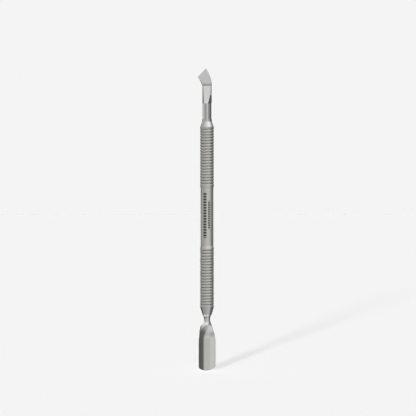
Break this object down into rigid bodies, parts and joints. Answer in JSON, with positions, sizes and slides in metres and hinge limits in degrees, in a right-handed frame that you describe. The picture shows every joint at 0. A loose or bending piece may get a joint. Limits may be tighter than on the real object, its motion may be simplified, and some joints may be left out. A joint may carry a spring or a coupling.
{
  "type": "cuticle pusher",
  "caption": "Double-ended steel manicure tool: round ribbed handle, hollow-ground scoop pusher at one end, slanted hatchet blade at the other.",
  "frame": {"origin": "on the tool's axis, at the middle of the plain band half way along the handle", "axes": "+Z along the tool towards the hatchet blade; -Y is the front, which the blade's ground face looks to; +X is to the right seen from the front"},
  "size_m": [0.0082, 0.0062, 0.1359],
  "materials": {
    "blasted_steel": "bead-blasted stainless steel, fine even matt",
    "satin_steel": "finely turned stainless steel with a satin sheen",
    "blade_steel": "polished stainless steel, with a matt ground blade face",
    "scoop_steel": "polished stainless steel, with a lengthwise ground scoop"
  },
  "bodies": {
    "root": {"handle_tube": "blasted_steel", "blade_end_plug": "satin_steel", "pusher_end_plug": "satin_steel", "blade_tip": "blade_steel", "pusher_tip": "scoop_steel"}
  },
  "joints": []
}
